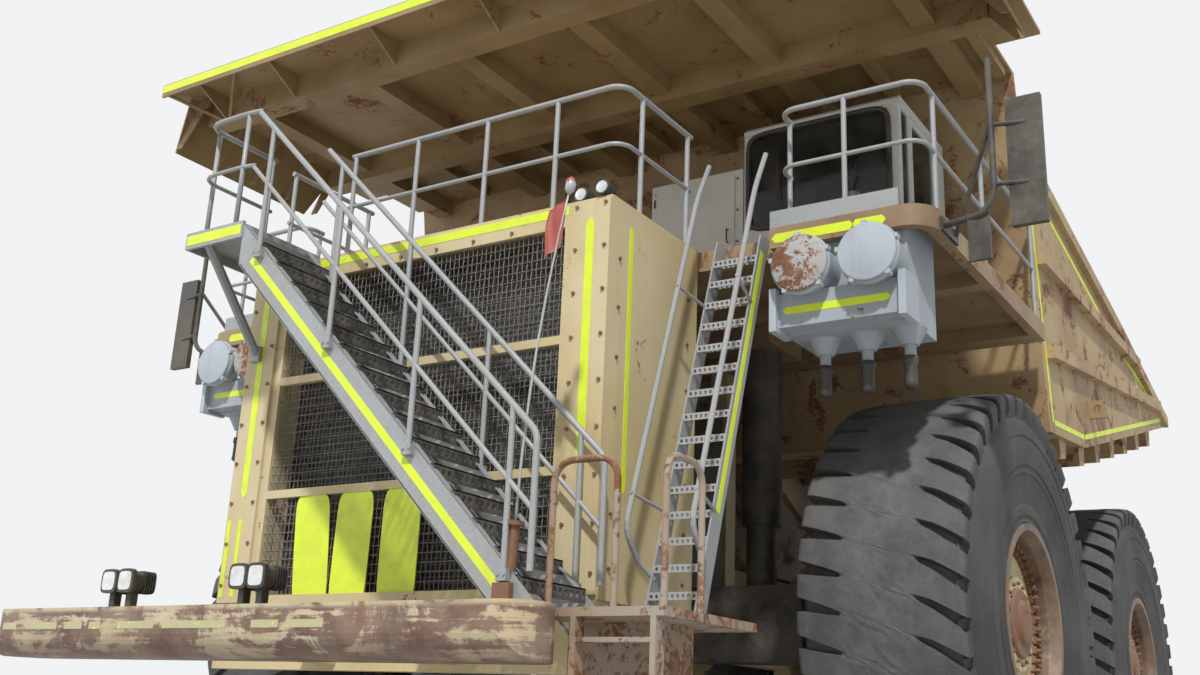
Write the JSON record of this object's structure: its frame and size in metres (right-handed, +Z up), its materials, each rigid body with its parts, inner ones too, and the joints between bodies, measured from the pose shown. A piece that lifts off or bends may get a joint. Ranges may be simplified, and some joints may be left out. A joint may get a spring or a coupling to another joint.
{
  "type": "mining dump truck",
  "caption": "Rigid mining haul truck with a tilting rock body and canopy, steered front wheels, twin rear wheels, radiator grille, stairs, deck and cab.",
  "frame": {"origin": "centre of the truck's footprint on the ground", "axes": "-Y is the way the truck drives, +X its left side, where the cab stands, +Z up"},
  "size_m": [9.86, 13.6, 7.79],
  "materials": {
    "cream_paint": "worn satin, dusty",
    "dark_paint": "greasy matt",
    "rusty_paint": "rusted matt",
    "galvanised": "dull, dusty",
    "white_paint": "satin",
    "steel": "polished rods",
    "tyre": "dusty",
    "tinted_glass": "tinted",
    "yellow_body": "worn, dusty",
    "black_mesh": "matt",
    "lamp_glass": "clear"
  },
  "bodies": {
    "chassis": {"frame": "cream_paint", "front_axle": "dark_paint", "rear_axle": "dark_paint", "bumper": "rusty_paint", "engine": "dark_paint", "tanks": "cream_paint", "radiator_housing": "cream_paint", "grille": "black_mesh", "radiator_core": "dark_paint", "front_stair": "galvanised", "stair_rails": "galvanised", "boarding_ladder": "galvanised", "lower_platform": "galvanised", "deck": "rusty_paint", "deck_rails": "galvanised", "deck_cabinets": "white_paint", "air_cleaners": "galvanised", "mirrors": "dark_paint", "lamps": "lamp_glass", "cab_shell": "white_paint", "cab_glass": "tinted_glass", "cab_interior": "dark_paint"},
    "door": {"cab_door": "white_paint", "door_glass": "tinted_glass"},
    "knuckle_left_body": {"knuckle_left": "dark_paint"},
    "knuckle_right_body": {"knuckle_right": "dark_paint"},
    "tie_rod_body": {"tie_rod": "dark_paint"},
    "steer_barrel_left_body": {"steer_barrel_left": "dark_paint"},
    "steer_rod_left_body": {"steer_rod_left": "steel"},
    "steer_barrel_right_body": {"steer_barrel_right": "dark_paint"},
    "steer_rod_right_body": {"steer_rod_right": "steel"},
    "wheel_front_left": {"tyre_front_left": "tyre", "rim_front_left": "rusty_paint"},
    "wheel_front_right": {"tyre_front_right": "tyre", "rim_front_right": "rusty_paint"},
    "wheels_rear_left": {"tyres_rear_left": "tyre", "rims_rear_left": "rusty_paint"},
    "wheels_rear_right": {"tyres_rear_right": "tyre", "rims_rear_right": "rusty_paint"},
    "hoist_barrels_body": {"hoist_barrels": "dark_paint"},
    "hoist_stages_body": {"hoist_stages": "steel"},
    "hoist_rods_body": {"hoist_rods": "steel"},
    "body_and_canopy": {"dump_body": "yellow_body", "body_girders": "yellow_body", "canopy": "yellow_body"}
  },
  "joints": [
    {"name": "steer_left", "type": "hinge", "parent": "chassis", "child": "knuckle_left_body", "pos_m": [2.35, -1.8, 2], "axis": [0, 0, 1], "range_deg": [-35, 37]},
    {"name": "steer_right", "type": "hinge", "parent": "chassis", "child": "knuckle_right_body", "pos_m": [-2.35, -1.8, 2], "axis": [0, 0, 1], "range_deg": [-35, 37]},
    {"name": "tie_rod_turn", "type": "hinge", "parent": "knuckle_left_body", "child": "tie_rod_body", "pos_m": [2.36309, -1.05011, 1.435], "axis": [0, 0, 1], "range_deg": [-37, 35]},
    {"name": "steer_barrel_left_turn", "type": "hinge", "parent": "chassis", "child": "steer_barrel_left_body", "pos_m": [0.9, -2.36, 1.435], "axis": [0, 0, 1], "range_deg": [-8, 8]},
    {"name": "steer_rod_left_slide", "type": "slide", "parent": "steer_barrel_left_body", "child": "steer_rod_left_body", "axis": [0.9991, 0.0416, 0], "range_m": [-0.4, 0.4]},
    {"name": "steer_barrel_right_turn", "type": "hinge", "parent": "chassis", "child": "steer_barrel_right_body", "pos_m": [-0.9, -2.36, 1.435], "axis": [0, 0, 1], "range_deg": [-8, 8]},
    {"name": "steer_rod_right_slide", "type": "slide", "parent": "steer_barrel_right_body", "child": "steer_rod_right_body", "axis": [-0.9992, 0.0411, 0], "range_m": [-0.4, 0.4]},
    {"name": "wheel_front_left_spin", "type": "hinge", "parent": "knuckle_left_body", "child": "wheel_front_left", "pos_m": [3.44983, -1.8192, 2], "axis": [0.9998, -0.0175, 0], "continuous": true},
    {"name": "wheel_front_right_spin", "type": "hinge", "parent": "knuckle_right_body", "child": "wheel_front_right", "pos_m": [-3.44983, -1.7808, 2], "axis": [0.9998, -0.0175, 0], "continuous": true},
    {"name": "wheels_rear_left_spin", "type": "hinge", "parent": "chassis", "child": "wheels_rear_left", "pos_m": [2.42, 4.4, 2], "axis": [1, 0, 0], "continuous": true},
    {"name": "wheels_rear_right_spin", "type": "hinge", "parent": "chassis", "child": "wheels_rear_right", "pos_m": [-2.42, 4.4, 2], "axis": [1, 0, 0], "continuous": true},
    {"name": "body_tilt", "type": "hinge", "parent": "chassis", "child": "body_and_canopy", "pos_m": [0, 5.5, 3.16], "axis": [-1, 0, 0], "range_deg": [0, 45]},
    {"name": "hoist_barrels_lean", "type": "hinge", "parent": "chassis", "child": "hoist_barrels_body", "pos_m": [0, 0.7, 1.45], "axis": [-1, 0, 0], "range_deg": [0, 12]},
    {"name": "hoist_stages_slide", "type": "slide", "parent": "hoist_barrels_body", "child": "hoist_stages_body", "axis": [0, 0.2124, 0.9772], "range_m": [0, 1.7]},
    {"name": "hoist_rods_slide", "type": "slide", "parent": "hoist_stages_body", "child": "hoist_rods_body", "axis": [0, 0.2124, 0.9772], "range_m": [0, 1.7]},
    {"name": "door_hinge", "type": "hinge", "parent": "chassis", "child": "door", "pos_m": [3.238, -1.306, 6], "axis": [0, 0, 1], "range_deg": [0, 90]}
  ],
  "couplings": [
    {"joint": "steer_right", "follows": "steer_left", "ratio": 1},
    {"joint": "tie_rod_turn", "follows": "steer_left", "ratio": -1},
    {"joint": "steer_barrel_left_turn", "follows": "steer_left", "ratio": -0.036},
    {"joint": "steer_rod_left_slide", "follows": "steer_left", "m_per_rad": 0.463},
    {"joint": "steer_barrel_right_turn", "follows": "steer_left", "ratio": 0.012},
    {"joint": "steer_rod_right_slide", "follows": "steer_left", "m_per_rad": -0.456},
    {"joint": "hoist_barrels_lean", "follows": "body_tilt", "ratio": 0.205},
    {"joint": "hoist_stages_slide", "follows": "body_tilt", "m_per_rad": 2.0921},
    {"joint": "hoist_rods_slide", "follows": "body_tilt", "m_per_rad": 2.0921}
  ]
}
